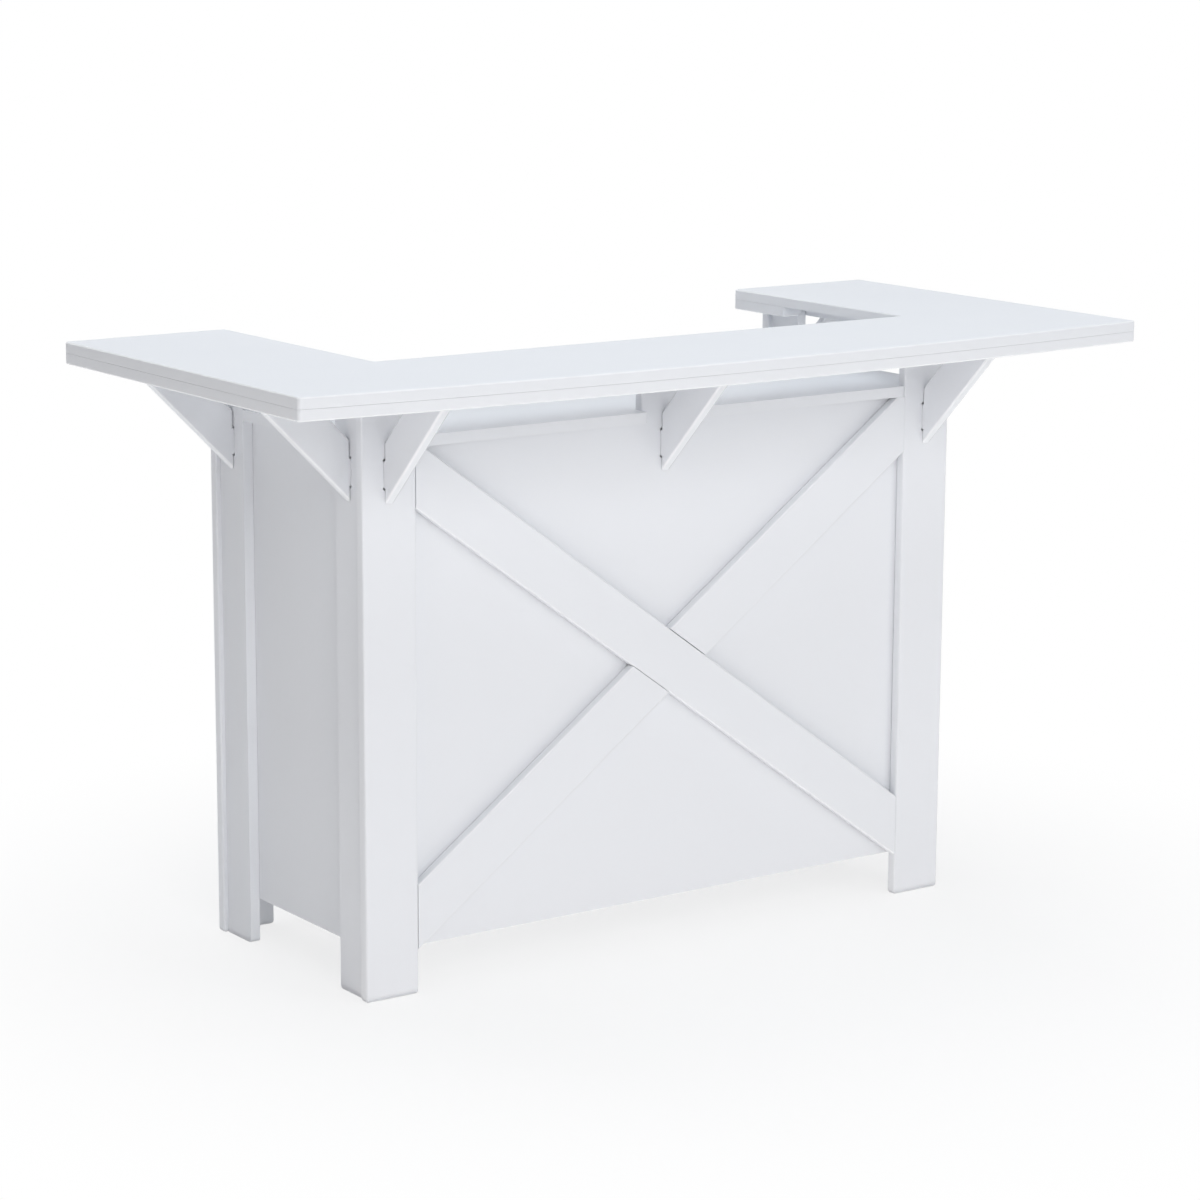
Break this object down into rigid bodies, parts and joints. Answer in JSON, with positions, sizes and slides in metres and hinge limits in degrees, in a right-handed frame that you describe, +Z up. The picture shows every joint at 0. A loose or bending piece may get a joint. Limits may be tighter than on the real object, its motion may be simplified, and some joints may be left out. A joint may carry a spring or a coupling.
{
  "type": "outdoor bar",
  "caption": "Free-standing outdoor bar in white plastic sheet: a U-shaped counter with a bowed front on a panelled stand, open at the back for the server, with shelves inside.",
  "frame": {"origin": "on the floor under the middle of the counter's outline", "axes": "+Z up, the bowed front faces -Y and the open back +Y, +X is to the right seen from the front"},
  "size_m": [1.734, 0.828, 1.067],
  "materials": {
    "white_sheet": "finely pebbled white plastic sheet with rounded-over edges",
    "shaded_sheet": "the same white sheet where it stands in the shade of the stand",
    "stainless_screws": "low-domed stainless screw heads on the hidden faces, kept for a finer picture of the part"
  },
  "bodies": {
    "root": {"counter_top": "white_sheet", "counter_doubler": "white_sheet", "post_front_left_face": "white_sheet", "post_front_left_side": "white_sheet", "post_front_right_face": "white_sheet", "post_front_right_side": "white_sheet", "post_back_left_face": "white_sheet", "post_back_left_side": "white_sheet", "post_back_right_face": "white_sheet", "post_back_right_side": "white_sheet", "front_panel": "white_sheet", "side_panel_left": "white_sheet", "side_panel_right": "white_sheet", "worktop": "white_sheet", "brace_long": "white_sheet", "brace_lower_left": "white_sheet", "brace_upper_right": "white_sheet", "bracket_front_left": "white_sheet", "bracket_front_centre": "white_sheet", "bracket_front_right": "white_sheet", "bracket_left_front": "white_sheet", "bracket_left_back": "white_sheet", "bracket_right_front": "white_sheet", "bracket_right_back": "white_sheet", "back_rail_bottom": "white_sheet", "back_rail_top": "white_sheet", "centre_divider": "shaded_sheet", "deck_left": "shaded_sheet", "deck_right": "shaded_sheet", "mid_shelf_left": "shaded_sheet", "mid_shelf_right": "shaded_sheet", "deck_cleat_left_wall": "shaded_sheet", "deck_cleat_left_divider": "shaded_sheet", "deck_cleat_left_front": "shaded_sheet", "deck_cleat_left_back": "shaded_sheet", "mid_cleat_left_wall": "shaded_sheet", "mid_cleat_left_divider": "shaded_sheet", "worktop_cleat_left_front": "shaded_sheet", "worktop_cleat_left_wall": "shaded_sheet", "deck_cleat_right_wall": "shaded_sheet", "deck_cleat_right_divider": "shaded_sheet", "deck_cleat_right_front": "shaded_sheet", "deck_cleat_right_back": "shaded_sheet", "mid_cleat_right_wall": "shaded_sheet", "mid_cleat_right_divider": "shaded_sheet", "worktop_cleat_right_front": "shaded_sheet", "worktop_cleat_right_wall": "shaded_sheet"}
  },
  "joints": []
}
